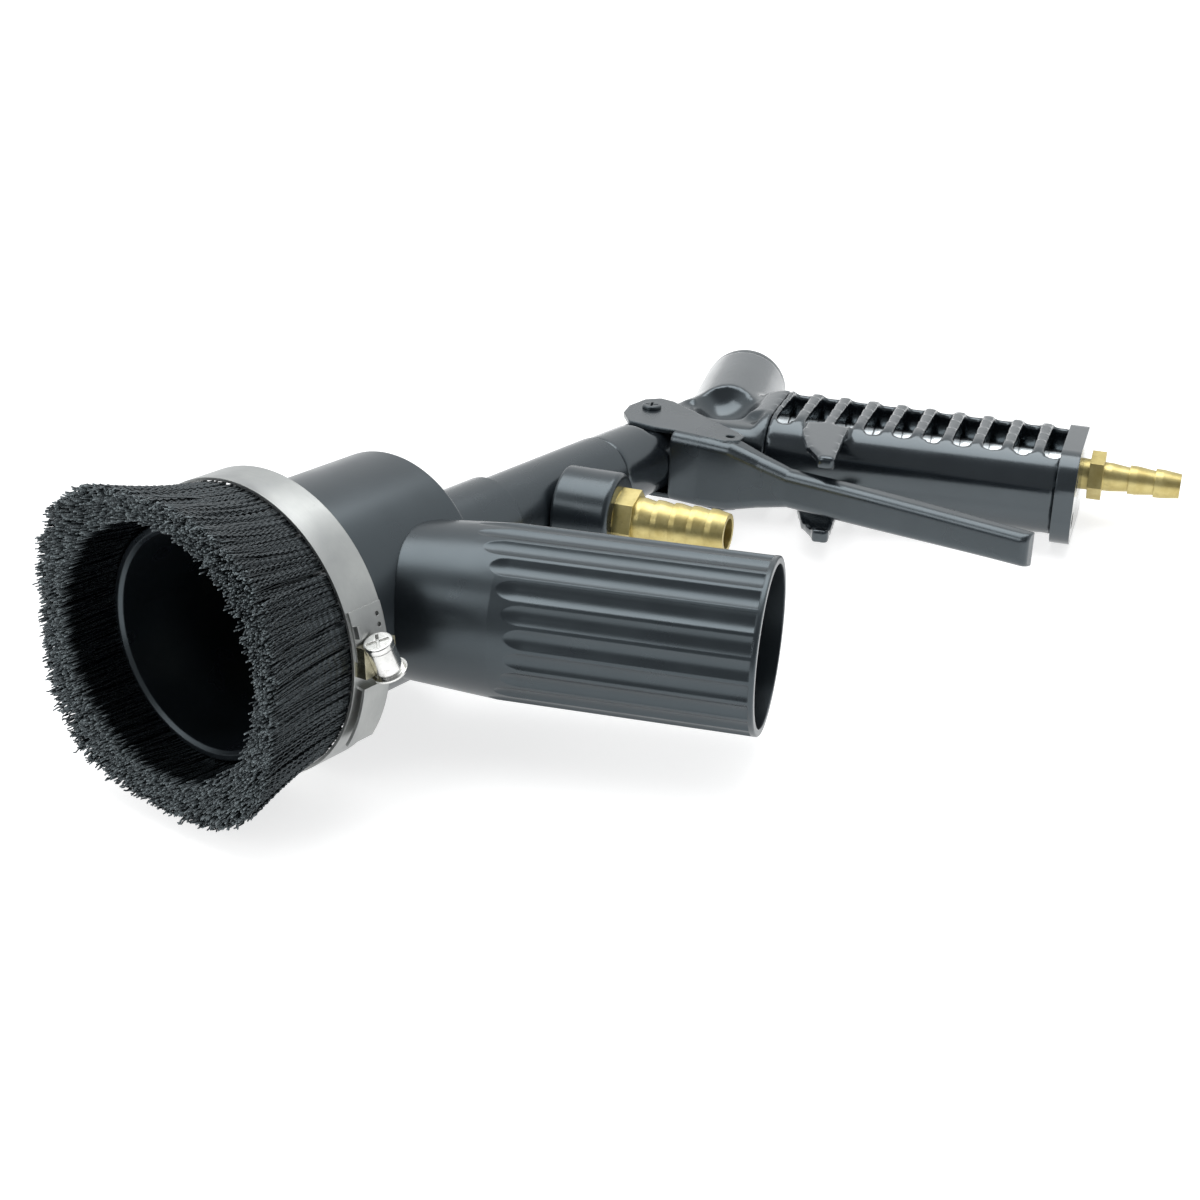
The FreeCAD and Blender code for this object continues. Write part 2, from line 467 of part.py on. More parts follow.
def valve():
    """Everything inside the stub, from the gland in front to the cap at the back."""
    gland = hexagon("gland_hex", at(VALVE, z=-D["gland_gap"] - D["gland_hex"]), "dims.gland_flats",
                    "dims.gland_hex")
    thread = rod("gland_thread", at(VALVE, z=-D["gland_gap"]), "dims.gland_radius",
                 "dims.gland_length + dims.gland_gap + 1")
    hole = rod("gland_hole", at(VALVE, z=-D["gland_length"]), "dims.stem_radius + dims.turning_gap",
               "dims.through")
    finish("stem_gland", cut("stem_gland", fuse("gland_mass", [gland, thread]), [hole]))
    seat_start = D["chamber_start"] + D["seat_step"]
    seat = rod("seat_ring", at(VALVE, z=seat_start), "dims.valve_chamber", "dims.seat_length")
    seat_hole = rod("seat_hole", at(VALVE, z=D["chamber_start"]), "dims.seat_bore", "dims.through")
    finish("valve_seat", cut("valve_seat", seat, [seat_hole]))
    poppet_start = seat_start + D["seat_length"] + D["turning_gap"]
    point = D["stem_point"]
    stem = rod("stem_rod", at(VALVE, z=point - D["stem_tip"]), "dims.stem_radius",
               f"{poppet_start:.3f} + dims.stem_tip + dims.stem_point")
    tip = taper("stem_nose", at(VALVE, z=-D["stem_tip"]), "dims.stem_radius - dims.stem_point_inset",
                "dims.stem_radius", "dims.stem_point")
    poppet = rod("poppet", at(VALVE, z=poppet_start), "dims.poppet_radius", "dims.poppet_length")
    finish("valve_stem", fuse("valve_stem", [stem, tip, poppet]))
    spring_start = poppet_start + D["poppet_length"] + D["spring_wire"] + 2 * D["turning_gap"]
    spring_end = D["stub_end"] - D["spigot_length"] - D["spring_wire"] - 2 * D["turning_gap"]
    helix = Part.makeHelix((spring_end - spring_start) / D["spring_turns"], spring_end - spring_start,
                           D["spring_radius"])
    section = Part.Wire(Part.makeCircle(D["spring_wire"], Vector(D["spring_radius"], 0, 0), Vector(0, 1, 0)))
    coil = Part.Wire(helix.Edges).makePipeShell([section], True, False)
    finish("valve_spring", shaped("valve_spring", coil, at(VALVE, z=spring_start)))
    spigot = rod("cap_spigot", at(VALVE, z=D["stub_end"] - D["spigot_length"]), "dims.cap_spigot",
                 "dims.spigot_length")
    disc = rod("cap_disc", at(VALVE, z=D["stub_end"]), "dims.stub_radius - 0.3", "dims.valve_cap_thickness")
    disc = eased("cap_disc_eased", disc, D["rim_round"], D["valve_cap_thickness"])
    slot = block("cap_slot", at(VALVE, -D["through"] / 2, -D["cap_slot"] / 2,
                                D["stub_end"] + D["valve_cap_thickness"] / 2),
                 "dims.through", "dims.cap_slot", "dims.valve_cap_thickness")
    finish("valve_cap", cut("valve_cap", fuse("cap_mass", [spigot, disc]), [slot]))


def air_jet():
    """The brass jet that stands in the mixing body."""
    start = D["mixer_end"] - D["jet_reach"]
    nose = taper("jet_nose", at(BARREL, z=start), "dims.jet_bore + 1", "dims.jet_radius", "dims.jet_nose")
    shank = rod("jet_shank", at(BARREL, z=start + D["jet_nose"]), "dims.jet_radius",
                "dims.jet_reach + dims.jet_seat - dims.jet_nose")
    hole = rod("jet_hole", at(BARREL, z=start), "dims.jet_bore", "dims.through")
    finish("air_jet", cut("air_jet", fuse("jet_mass", [nose, shank]), [hole]))


# the lever guides on the grip's first ribs: a wedge with a narrow tip, as (x, z) in the grip's frame
LUG_OUTLINE = [(-17, 35.2), (-34, 35.4), (-48, 40.0), (-56.5, 45.4), (-56.2, 50.6), (-35.5, 49.1),
               (-17, 48.4)]
# a lever cheek, as (x, z) in the lever's frame, from the front corner by the pivot round to the fold
CHEEK_OUTLINE = [(-13.2, 20), (-15.4, 12), (-15.6, 2), (-10, -4), (-3, -6.8), (6, -6.8), (10.4, -3.6), (10.4, 1.5),
                 (3.9, 18.9), (-1.2, 33), (-3.6, 38.4), (-8.4, 39.4), (-12, 36)]
CHEEK_ROUND = 1.2


def grip():
    """The ribbed grip round its core tube, the end flange and its screws."""
    front, back, half = -D["grip_front"], D["grip_back"], D["grip_half"]
    mass = shaped("grip_mass", rounded_prism(front, back, half, D["grip_round"], D["back_round"],
                                             D["grip_start"], D["flange_start"]), at(GRIP))
    lugs = []
    for side, sign in (("left", 1), ("right", -1)):
        outline = [Vector(x, 0, z) for x, z in LUG_OUTLINE]
        plate = Part.Face(Part.makePolygon(outline + outline[:1])).extrude(Vector(0, D["lug_sheet"], 0))
        lug_y = half - D["lug_sheet"] if sign > 0 else -half
        lugs.append(shaped(f"lug_{side}", plate, at(GRIP, y=lug_y)))
        tip_y = half - D["lug_tip"] if sign > 0 else -half
        tip_x = min(x for x, z in LUG_OUTLINE) - D["lever_sheet"]
        lugs.append(block(f"lug_tip_{side}", at(GRIP, tip_x, tip_y, D["lug_tip_start"]), "2 * dims.lever_sheet",
                          "dims.lug_tip", "dims.lug_tip_length"))
    tools = [rod("core_hole", at(GRIP, z=D["grip_start"] - 1), "dims.core_radius + dims.push_gap",
                 "dims.flange_end")]
    side = D["through"] / 2
    centre_x = -D["window_front"] + D["window_width"] / 2
    side_turn = FreeCAD.Rotation(Vector(1, 0, 0), -90)
    for i in range(int(D["window_count"])):
        z = D["window_first"] + i * D["window_pitch"]
        low = z - D["window_width"] / 2
        tools.append(block(f"window_{i}", at(GRIP, centre_x, -side, low),
                           "dims.window_front - dims.window_width / 2 + dims.grip_back - dims.spine",
                           "dims.through", "dims.window_width"))
        tools.append(rod(f"window_end_{i}", at(GRIP, centre_x, -side, z, turn=side_turn),
                         "dims.window_width / 2", "dims.through"))
        tools.append(block(f"spine_drop_{i}", at(GRIP, back - D["rib_rise"], -side, low), "dims.spine",
                           "dims.through", "dims.window_width"))
        for name, y in (("left", D["spine_half"]), ("right", -side)):
            tools.append(block(f"window_{name}_{i}", at(GRIP, 0, y, low), "dims.grip_back + 1",
                               "dims.through / 2 - dims.spine_half", "dims.window_width"))
    screws, holes = [], []
    for i, y in enumerate((D["flange_screw_y"], -D["flange_screw_y"])):
        x, start = -D["flange_screw_x"], D["flange_start"]
        sunk = D["flange_end"] - D["counterbore"]
        holes.append(rod(f"flange_screw_hole_{i}", at(GRIP, x, y, start), "dims.flange_screw",
                         "dims.through"))
        holes.append(rod(f"flange_counterbore_{i}", at(GRIP, x, y, sunk), "dims.flange_screw_head",
                         "dims.counterbore"))
        tools.append(rod(f"grip_screw_hole_{i}", at(GRIP, x, y, start - D["flange_screw_grip"]),
                         "dims.flange_screw", "dims.through"))
        shank = rod(f"flange_screw_shank_{i}", at(GRIP, x, y, start - D["flange_screw_grip"] + 1),
                    "dims.flange_screw", "dims.flange_end - dims.flange_start + dims.flange_screw_grip"
                    " - dims.counterbore - 0.5")
        head = rod(f"flange_screw_head_{i}", at(GRIP, x, y, sunk), "dims.flange_screw_head",
                   "dims.counterbore - 0.2")
        slot = block(f"flange_screw_slot_{i}", at(GRIP, x - 4, y - D["screw_slot"] / 2,
                                                  D["flange_end"] - 0.2 - D["screw_slot_depth"]),
                     "8", "dims.screw_slot", "dims.screw_slot_depth")
        screws.append(cut(f"flange_screw_{i}", fuse(f"flange_screw_mass_{i}", [shank, head]), [slot]))
    finish("grip", cut("grip", fuse("grip_with_lugs", [mass] + lugs), tools))
    plate = shaped("flange_mass", rounded_prism(-D["flange_front"], D["flange_back"], D["flange_half"],
                                                D["flange_round"], D["flange_round"], D["flange_start"],
                                                D["flange_end"]), at(GRIP))
    hole = rod("flange_hole", at(GRIP, z=D["flange_start"]), "dims.core_radius + dims.push_gap",
               "dims.through")
    finish("end_flange", cut("end_flange", plate, [hole] + holes))
    both = doc.addObject("Part::Compound", "flange_screws")
    both.Links = screws
    finish("flange_screws", both)
    core = rod("core_outside", at(GRIP, z=D["core_start"]), "dims.core_radius",
               "dims.flange_end - dims.core_start")
    inside = rod("core_inside", at(GRIP, z=D["core_start"]), "dims.core_bore",
                 "dims.flange_end - dims.core_start")
    thread = rod("core_thread", at(GRIP, z=D["flange_end"] - 13), "dims.air_thread", "20")
    finish("core_tube", cut("core_tube", core, [inside, thread]))


def smooth(a, b, value):
    t = min(1.0, max(0.0, (value - a) / (b - a)))
    return t * t * (3 - 2 * t)


def folded(face, depth, half, fold, z):
    """One cross-section of the lever's channel: a U with its two front corners rounded by fold."""
    mid = fold * (1 - math.sqrt(0.5))
    left = Part.Arc(Vector(face + fold, -half, z), Vector(face + mid, -half + mid, z),
                    Vector(face, -half + fold, z))
    right = Part.Arc(Vector(face, half - fold, z), Vector(face + mid, half - mid, z),
                     Vector(face + fold, half, z))
    lines = [Part.LineSegment(Vector(depth, -half, z), Vector(face + fold, -half, z)), left,
             Part.LineSegment(Vector(face, -half + fold, z), Vector(face, half - fold, z)), right,
             Part.LineSegment(Vector(face + fold, half, z), Vector(depth, half, z)),
             Part.LineSegment(Vector(depth, half, z), Vector(depth, -half, z))]
    return Part.Wire([line.toShape() for line in lines])


def channel(wall, depth, start, end):
    """A solid down the lever, wall inside its skin: half width and front face follow smooth steps."""
    last = end - D["lever_end_round"]
    stations = [start + (last - start) * i / 12 for i in range(13)]
    stations += [last + D["lever_end_round"] * share for share in (0.45, 0.75, 0.92, 1.0)]
    rings = []
    for z in stations:
        half = D["lever_half"] - 5.6 * smooth(34, 60, z) - 0.9 * smooth(60, 138, z) - wall
        face = -16.4 + 6.0 * smooth(16, 62, z) + 3.2 * smooth(40, 150, z) + wall
        fold = D["lever_fold"] - (D["lever_fold"] - D["lever_end_fold"]) * smooth(40, 110, z) - wall
        past = max(0.0, z - last)
        face += D["lever_end_round"] - math.sqrt(D["lever_end_round"] ** 2 - 0.98 * past ** 2)
        rings.append(folded(face, depth(z), half, fold, z))
    return Part.makeLoft(rings, True, True)


def lever():
    """The pressed-steel lever: a channel with two cheeks that straddle the body, and its pivot."""
    sheet_mm = D["lever_sheet"]
    top, end = 19.0, D["lever_reach"]
    outer = channel(0, lambda z: -6.6 + 4.0 * smooth(40, 110, z), top, end)
    inner = channel(sheet_mm, lambda z: 12.0, top - 1, end - sheet_mm)
    outline = [Vector(x, 0, z) for x, z in CHEEK_OUTLINE]
    solid = outer.cut(inner)
    for y in (D["lever_half"] - sheet_mm, -D["lever_half"]):
        cheek = Part.Face(Part.makePolygon(outline + outline[:1])).extrude(Vector(0, sheet_mm, 0))
        corners = [edge for edge in cheek.Edges if abs(edge.tangentAt(edge.FirstParameter).y) > 0.99]
        cheek = cheek.makeFillet(CHEEK_ROUND, corners)
        cheek.translate(Vector(0, y, 0))
        solid = solid.fuse(cheek)
    for x, z, radius in ((0, 0, D["pin_radius"] + D["turning_gap"]), (-7.0, 35.2, D["lever_hole"])):
        solid = solid.cut(Part.makeCylinder(radius, D["through"], Vector(x, -D["through"] / 2, z),
                                            Vector(0, 1, 0)))
    finish("trigger_lever", shaped("trigger_lever", solid.removeSplitter(), at(LEVER)))
    side_turn = FreeCAD.Rotation(Vector(1, 0, 0), -90)
    shank = rod("pin_shank", at(LEVER, y=-D["lever_half"] - 3, turn=side_turn), "dims.pin_radius",
                "2 * dims.lever_half + 3.2")
    head = rod("pin_head", at(LEVER, y=D["lever_half"] + 0.1, turn=side_turn), "dims.pin_head",
               "dims.pin_head_height")
    head = eased("pin_head_eased", head, D["lip_round"], D["pin_head_height"])
    recess = []
    for i in range(2):
        place = at(LEVER, y=D["lever_half"] + 0.1 + D["pin_head_height"] - D["pin_recess"],
                   turn=FreeCAD.Rotation(Vector(0, 1, 0), 30 + 90 * i))
        recess.append(block(f"pin_recess_{i}", at(place, x=-D["pin_radius"], z=-D["pin_recess"] / 2),
                            "2 * dims.pin_radius", "dims.pin_head_height", "dims.pin_recess"))
    finish("lever_pivot_screw", cut("lever_pivot_screw", fuse("pin_mass", [shank, head]), recess))
    nut_place = at(LEVER, y=-D["lever_half"] - D["pin_nut_height"] - 0.1, turn=side_turn)
    nut = hexagon("pin_nut_hex", nut_place, "dims.pin_nut_flats", "dims.pin_nut_height")
    nut_hole = rod("pin_nut_hole", nut_place, "dims.pin_radius", "dims.pin_nut_height")
    finish("lever_pivot_nut", cut("lever_pivot_nut", nut, [nut_hole]))


suction_head()
suction_port()
brush()
clamp()
blast_barrel()
hose_barb("grit_hose_barb", BOSS, ("boss_length", -13.0), "dims.boss_length", "dims.grit_hex",
          "dims.grit_flats", "dims.grit_thread", "dims.grit_barb", "grit_end", "dims.grit_bore", 5)
gun_body()
air_jet()
valve()
grip()
hose_barb("air_hose_barb", GRIP, ("flange_end", -13.0), "dims.air_hex_start", "dims.air_hex",
          "dims.air_flats", "dims.air_thread", "dims.air_barb", "air_end", "dims.air_bore", 3)
lever()
doc.recompute()

# Lay the gun down: nose end up by the pitch, rolled a little onto the grip, then set on z = 0
# with the middle of its bounding box over the origin.
lay = FreeCAD.Placement(Vector(), FreeCAD.Rotation(Vector(0, 1, 0), D["lay_pitch"])).multiply(
    FreeCAD.Placement(Vector(), FreeCAD.Rotation(Vector(1, 0, 0), D["lay_roll"])))
box = FreeCAD.BoundBox()
for item in PARTS.values():
    posed = item.Shape.copy()
    posed.Placement = lay.multiply(posed.Placement)
    box.add(posed.optimalBoundingBox(False))
lay.Base = Vector(-box.Center.x, -box.Center.y, -box.ZMin)
for item in PARTS.values():
    item.Placement = lay.multiply(item.Placement)
doc.recompute()

for item in doc.Objects:
    bad = [state for state in item.State if state in ("Invalid", "Error")]
    if bad:
        raise RuntimeError(f"{item.Name} is {bad}")
os.makedirs("parts", exist_ok=True)
for node, item in PARTS.items():
    shape = item.Shape
    if shape.isNull() or not shape.isValid() or not shape.Solids:
        raise RuntimeError(f"{node} has no valid solid")
    shape.exportStep(f"parts/{node}.step")
    print(f"{node}: {len(shape.Solids)} solid(s), {shape.Volume / 1000:.2f} cm3")
print("box", box, "lay", lay)
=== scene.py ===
"""Looks of the hand-held blasting gun: finishes for the CAD pieces, the bristles and the studio."""
import json
import math

import bpy
import numpy as np
from mathutils import Matrix, Vector


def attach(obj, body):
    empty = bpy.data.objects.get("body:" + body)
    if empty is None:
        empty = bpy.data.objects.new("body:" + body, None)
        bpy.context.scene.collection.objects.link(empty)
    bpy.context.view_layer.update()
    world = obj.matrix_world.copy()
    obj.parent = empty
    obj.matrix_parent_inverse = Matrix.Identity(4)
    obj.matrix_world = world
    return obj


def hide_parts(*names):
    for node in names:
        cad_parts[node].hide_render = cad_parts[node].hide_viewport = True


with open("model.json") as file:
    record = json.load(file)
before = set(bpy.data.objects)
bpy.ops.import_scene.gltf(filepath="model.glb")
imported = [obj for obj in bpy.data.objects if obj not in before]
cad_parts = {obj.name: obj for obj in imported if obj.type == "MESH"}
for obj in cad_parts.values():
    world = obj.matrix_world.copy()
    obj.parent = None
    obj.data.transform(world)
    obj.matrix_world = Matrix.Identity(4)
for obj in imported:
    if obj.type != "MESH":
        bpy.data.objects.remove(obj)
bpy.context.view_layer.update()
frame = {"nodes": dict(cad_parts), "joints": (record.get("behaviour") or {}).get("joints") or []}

# ---------------------------------------------------------------- the gun's own frame
# x runs rearwards along the barrel from the cup's lip, y points away from the grip and
# z to the gun's left side.  The lever's hinge runs along z, and the valve's line leaves
# the barrel's by VALVE_ANGLE, so the two joints say how the gun lies.
# Bends of the two hose lines and the valve line from the barrel's, in degrees towards the grip.
GRIT_BEND, AIR_BEND, VALVE_BEND = 73.3, 71, -25.3
VALVE_ANGLE = math.radians(-VALVE_BEND)
PIVOT_IN_GUN = Vector((0.2045, 0.007, 0))
MM = 0.001


def gun_matrix():
    """The gun's frame in the scene, from the two joints' axes and the lever's pivot."""
    joints = {j["name"]: j for j in frame["joints"]}
    z_axis = Vector(joints["lever_squeeze"]["axis"]).normalized()
    valve = Vector(joints["valve_slide"]["axis"]).normalized()
    x_axis = Matrix.Rotation(-VALVE_ANGLE, 3, z_axis) @ valve
    y_axis = z_axis.cross(x_axis)
    turn = Matrix((x_axis, y_axis, z_axis)).transposed().to_4x4()
    pivot = Vector(joints["lever_squeeze"]["pos_m"])
    return Matrix.Translation(pivot) @ turn @ Matrix.Translation(-PIVOT_IN_GUN)


GUN = gun_matrix()
GUN_TURN = GUN.to_3x3()


# ---------------------------------------------------------------- materials
class Nodes:
    """A new material's node tree, with the few helpers that the finishes below share."""

    def __init__(self, name):
        self.material = bpy.data.materials.new(name)
        self.material.use_nodes = True
        self.tree = self.material.node_tree
        self.shader = self.tree.nodes["Principled BSDF"]
        self.place = self.add("ShaderNodeTexCoord").outputs["Object"]

    def add(self, kind, **values):
        node = self.tree.nodes.new(kind)
        for key, value in values.items():
            setattr(node, key, value)
        return node

    def link(self, source, target):
        self.tree.links.new(source, target)

    def set(self, **values):
        """Sets the shader's own sockets, named with _ for a space."""
        for key, value in values.items():
            self.shader.inputs[key.replace("_", " ")].default_value = value

    def noise(self, size, detail=3.0, roughness=0.5, stretch=None, place=None):
        """Noise whose features are about size metres across, stretched along x, y, z if asked."""
        node = self.add("ShaderNodeTexNoise")
        node.inputs["Scale"].default_value = 1 / size
        node.inputs["Detail"].default_value = detail
        node.inputs["Roughness"].default_value = roughness
        source = place or self.place
        if stretch:
            mapping = self.add("ShaderNodeMapping")
            mapping.inputs["Scale"].default_value = stretch
            self.link(source, mapping.inputs["Vector"])
            source = mapping.outputs["Vector"]
        self.link(source, node.inputs["Vector"])
        return node.outputs["Fac"]

    def span(self, value, low, high, from_low=0.3, from_high=0.7):
        """value, from from_low..from_high, as low..high."""
        node = self.add("ShaderNodeMapRange")
        ends = (("From Min", from_low), ("From Max", from_high), ("To Min", low), ("To Max", high))
        for key, number in ends:
            node.inputs[key].default_value = number
        self.link(value, node.inputs["Value"])
        return node.outputs["Result"]

    def mix(self, factor, one, two):
        """A colour between one and two; either may be a colour or a socket."""
        node = self.add("ShaderNodeMix", data_type="RGBA")
        self.link(factor, node.inputs["Factor"])
        for socket, value in ((node.inputs[6], one), (node.inputs[7], two)):
            if isinstance(value, bpy.types.NodeSocket):
                self.link(value, socket)
            else:
                socket.default_value = (*value, 1)
        return node.outputs[2]

    def bump(self, height, distance, strength=1.0, normal=None):
        node = self.add("ShaderNodeBump")
        node.inputs["Strength"].default_value = strength
        node.inputs["Distance"].default_value = distance
        self.link(height, node.inputs["Height"])
        if normal:
            self.link(normal, node.inputs["Normal"])
        return node.outputs["Normal"]

    def rounded(self, radius):
        """The surface normal with the edges rounded by radius."""
        node = self.add("ShaderNodeBevel", samples=4)
        node.inputs["Radius"].default_value = radius
        return node.outputs["Normal"]

    def edge(self, rounded):
        """1 on an edge and 0 on a flat: how far the rounded normal leans from the true one."""
        geometry = self.add("ShaderNodeNewGeometry")
        node = self.add("ShaderNodeVectorMath", operation="DOT_PRODUCT")
        self.link(rounded, node.inputs[0])
        self.link(geometry.outputs["Normal"], node.inputs[1])
        return self.span(node.outputs["Value"], 1.0, 0.0, 0.80, 0.995)

    def finish(self, colour, roughness, normal):
        for name, source in (("Base Color", colour), ("Roughness", roughness), ("Normal", normal)):
            self.link(source, self.shader.inputs[name])
        return self.material


def enamel(name, dark, light, edge_highlight, rough, edge_radius=0.0004, peel=0.00001, coat=0.0):
    """Black enamel: faint mottling, dust-fine variation in gloss, orange peel, and a painted highlight
    along its edges.
    """
    n = Nodes(name)
    rounded = n.rounded(edge_radius)
    mottled = n.mix(n.span(n.noise(0.018), 0, 1), dark, light)
    # Painted highlight: the edges are mixed towards a paler colour in noisy patches, as if they caught
    # the light.
    highlight_patches = n.span(n.noise(0.004, 5, 0.7), 0.15, 1.0, 0.42, 0.62)
    edge_highlight_mask = n.add("ShaderNodeMath", operation="MULTIPLY")
    n.link(n.edge(rounded), edge_highlight_mask.inputs[0])
    n.link(highlight_patches, edge_highlight_mask.inputs[1])
    colour = n.mix(edge_highlight_mask.outputs[0], mottled, edge_highlight)
    roughness = n.span(n.noise(0.012, 2, 0.5), rough[0], rough[1])
    normal = n.bump(n.noise(0.0011, 2), peel, 1.0, rounded)
    n.set(Coat_Weight=coat, Coat_Roughness=0.12, IOR=1.5, Specular_IOR_Level=0.95,
          Specular_Tint=(0.78, 0.92, 1.0, 1))
    return n.finish(colour, roughness, normal)


def turned_metal(name, dark, light, rough, axis, tarnish, edge_radius=0.00025):
    """Bright metal with fine marks round its axis, a colour that varies and rounded edges."""
    n = Nodes(name)
    rounded = n.rounded(edge_radius)
    local = n.add("ShaderNodeVectorMath", operation="DOT_PRODUCT")
    n.link(n.place, local.inputs[0])
    local.inputs[1].default_value = axis
    along = n.add("ShaderNodeCombineXYZ")
    n.link(local.outputs["Value"], along.inputs["X"])
    lines = n.noise(0.00035, 2, 0.6, place=along.outputs["Vector"])
    clouds = n.mix(n.span(n.noise(0.006, 4, 0.6), 0, 1, 0.35, 0.7), light, dark)
    spots = n.span(n.noise(0.0022, 5, 0.7), 0, 0.55, 0.56, 0.74)
    colour = n.mix(spots, clouds, tarnish)
    roughness = n.span(lines, rough[0], rough[1])
    normal = n.bump(lines, 0.000012, 1.0, rounded)
    n.set(Metallic=1.0)
    return n.finish(colour, roughness, normal)


def band_metal(name):
    """Rolled stainless strip: grain round the clamp, soft clouding and fine scratches."""
    n = Nodes(name)
    rounded = n.rounded(0.0002)
    grain = n.noise(0.0003, 3, 0.6, stretch=tuple(0.05 + 0.95 * abs(c) for c in GUN_TURN.col[0]))
    clouds = n.mix(n.span(n.noise(0.012, 3), 0, 1), (0.34, 0.35, 0.35), (0.44, 0.45, 0.44))
    scratches = n.span(n.noise(0.0012, 6, 0.75), 0, 0.35, 0.6, 0.72)
    colour = n.mix(scratches, clouds, (0.26, 0.27, 0.27))
    roughness = n.span(grain, 0.34, 0.48)
    n.set(Metallic=1.0, Anisotropic=0.3)
    return n.finish(colour, roughness, n.bump(grain, 0.00001, 1.0, rounded))


def nylon(name, root, tip, rough):
    """Bristle nylon: each strand a little different, paler towards its cut tip, where the paler colour
    is partly the cut end's own paleness and partly a painted glint.
    """
    n = Nodes(name)
    strand = n.add("ShaderNodeAttribute", attribute_name="strand").outputs["Fac"]
    along = n.add("ShaderNodeAttribute", attribute_name="along").outputs["Fac"]
    blotch = n.span(n.noise(0.0009, 3), 0, 0.06)
    # Tip colour, partly the cut ends' paleness and partly a painted glint: mixed in mostly over each
    # strand's last twentieth, its end cap included.
    shade = n.add("ShaderNodeMath", operation="MULTIPLY")
    n.link(strand, shade.inputs[0])
    n.link(n.span(along, 0.05, 1.0, 0.95, 1.0), shade.inputs[1])
    total = n.add("ShaderNodeMath", operation="MAXIMUM")
    n.link(shade.outputs[0], total.inputs[0])
    n.link(blotch, total.inputs[1])
    colour = n.mix(total.outputs[0], root, tip)
    roughness = n.span(n.noise(0.0016, 2), rough[0], rough[1])
    normal = n.bump(n.noise(0.0002, 2), 0.00001)
    n.set(IOR=1.53, Specular_IOR_Level=0.85, Specular_Tint=(0.82, 0.94, 1.0, 1))
    return n.finish(colour, roughness, normal)


def moulded(name, dark, light, rough, grain=0.0004, depth=0.00001):
    """Plain moulded rubber, plastic or ceramic with a fine grain."""
    n = Nodes(name)
    colour = n.mix(n.span(n.noise(0.005, 4, 0.6), 0, 1), dark, light)
    roughness = n.span(n.noise(0.002, 3), rough[0], rough[1])
    return n.finish(colour, roughness, n.bump(n.noise(grain, 3), depth, 1.0, n.rounded(0.0002)))


def grip_axis(angle_degrees):
    """A direction in the gun's middle plane that leaves the barrel's line towards the grip."""
    turn = math.radians(angle_degrees)
    return GUN_TURN @ Vector((math.cos(turn), -math.sin(turn), 0))


def brass(name, bend):
    """Turned brass whose marks run round the line that leaves the barrel's by bend."""
    return turned_metal(name, (0.46, 0.37, 0.14), (0.62, 0.53, 0.24), (0.34, 0.46), grip_axis(bend),
                        (0.34, 0.27, 0.11))


BLACK, BLACK_2 = (0.0050, 0.0065, 0.0085), (0.0090, 0.0115, 0.0145)
# Paler colour of the painted edge highlight on the black enamel.
PAINTED_EDGE_HIGHLIGHT = (0.050, 0.060, 0.068)
FINISHES = {
    "suction_head": enamel("head_enamel", BLACK, BLACK_2, PAINTED_EDGE_HIGHLIGHT, (0.27, 0.33), 0.0005, 0.000004),
    "tube_enamel": enamel("tube_enamel", BLACK, BLACK_2, PAINTED_EDGE_HIGHLIGHT, (0.25, 0.31), 0.0004, 0.000004, 0.1),
    "gun_enamel": enamel("gun_enamel", BLACK, BLACK_2, PAINTED_EDGE_HIGHLIGHT, (0.18, 0.25), 0.0008, 0.000006, 0.3),
    "grip_enamel": enamel("grip_enamel", BLACK, BLACK_2, PAINTED_EDGE_HIGHLIGHT, (0.15, 0.22), 0.0006, 0.000005, 0.4),
    "lever_enamel": enamel("lever_enamel", BLACK, BLACK_2, PAINTED_EDGE_HIGHLIGHT, (0.20, 0.30), 0.0010, 0.000008, 0.2),
    "black_fastener": enamel("black_fastener", BLACK, BLACK_2, PAINTED_EDGE_HIGHLIGHT, (0.25, 0.4), 0.0003, 0.000008, 0.2),
    "grit_brass": brass("grit_brass", GRIT_BEND),
    "air_brass": brass("air_brass", AIR_BEND),
    "barrel_brass": brass("barrel_brass", 0),
    "valve_steel": turned_metal("valve_steel", (0.30, 0.30, 0.31), (0.50, 0.50, 0.52), (0.18, 0.32),
                                grip_axis(VALVE_BEND), (0.16, 0.15, 0.14)),
    # Painted sheen: the core tube is given a pale steel colour, far paler than the dark tube itself, so
    # that it shows lit inside the grip's shaded windows.
    "core_tube_sheen": turned_metal("core_tube_sheen", (0.42, 0.45, 0.47), (0.68, 0.72, 0.74), (0.16, 0.28),
                               grip_axis(AIR_BEND), (0.03, 0.03, 0.03)),
    "bright_screw": turned_metal("bright_screw", (0.58, 0.58, 0.57), (0.82, 0.82, 0.80), (0.14, 0.28),
                                 GUN_TURN @ Vector((0, 0, 1)), (0.30, 0.29, 0.26)),
    "clamp_olive": turned_metal("clamp_olive", (0.24, 0.22, 0.14), (0.40, 0.38, 0.28), (0.22, 0.38),
                                GUN_TURN @ Vector((0, 0, 1)), (0.10, 0.09, 0.06)),
    "band": band_metal("band_stainless"),
    "rubber": moulded("backing_rubber", (0.008, 0.008, 0.009), (0.016, 0.016, 0.018), (0.5, 0.7)),
    "ceramic": moulded("fired_ceramic", (0.62, 0.60, 0.54), (0.74, 0.72, 0.66), (0.35, 0.55)),
}
